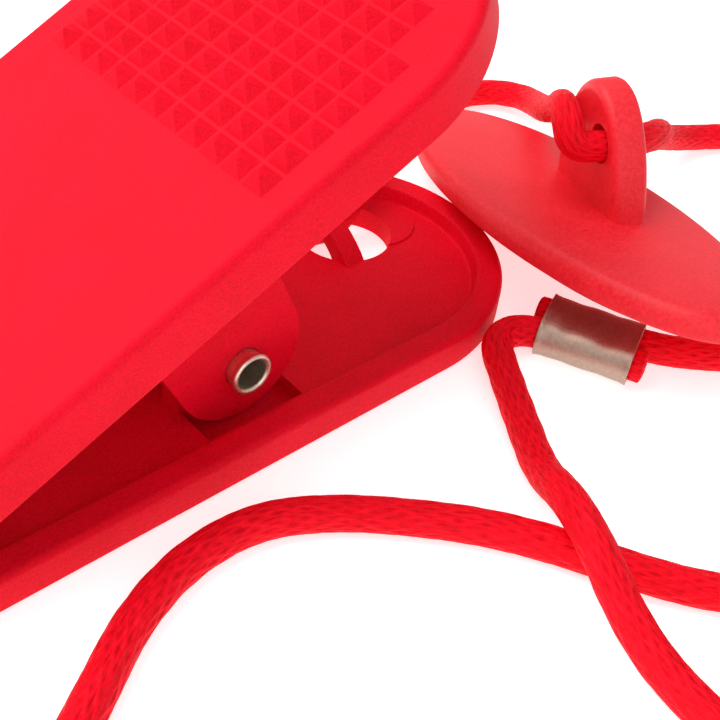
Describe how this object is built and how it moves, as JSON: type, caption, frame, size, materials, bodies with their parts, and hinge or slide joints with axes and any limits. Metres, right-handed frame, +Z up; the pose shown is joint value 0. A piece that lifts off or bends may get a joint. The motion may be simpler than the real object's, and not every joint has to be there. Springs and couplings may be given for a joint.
{
  "type": "safety key lanyard with clip",
  "caption": "Sprung two-lever plastic clip on a braided cord loop with a crimp ferrule and an oval magnetic key with a finned grip.",
  "frame": {"origin": "on the table under the middle of the clip, between the jaw tip and the finger end, below the rivet", "axes": "+X from the jaws to the finger ends, +Y along the rivet away from its open end, +Z up"},
  "size_m": [0.1146, 0.1005, 0.0322],
  "materials": {
    "clip_plastic": "spark-textured matte",
    "key_plastic": "spark-textured matte",
    "cord_braid": "satin braid",
    "rivet_metal": "worn bright",
    "spring_steel": "satin",
    "ferrule_metal": "dull",
    "magnet_metal": "satin",
    "tie_plastic": "matte"
  },
  "bodies": {
    "clip_base": {"lower_lever": "clip_plastic", "pivot_rivet": "rivet_metal", "spring_lower_half": "spring_steel", "cord_out": "cord_braid", "cord_back": "cord_braid", "cord_coil": "cord_braid", "coil_tie": "tie_plastic", "crimp_ferrule": "ferrule_metal", "key_body": "key_plastic", "key_base": "key_plastic", "key_magnet": "magnet_metal"},
    "squeeze_lever": {"upper_lever": "clip_plastic", "spring_upper_half": "spring_steel"}
  },
  "joints": [
    {"name": "lever_pivot", "type": "hinge", "parent": "clip_base", "child": "squeeze_lever", "pos_m": [0, 0, 0.0053], "axis": [0, 1, 0], "range_deg": [0, 34], "stiffness_Nm_per_rad": 0.12, "springref_deg": -28.65}
  ]
}
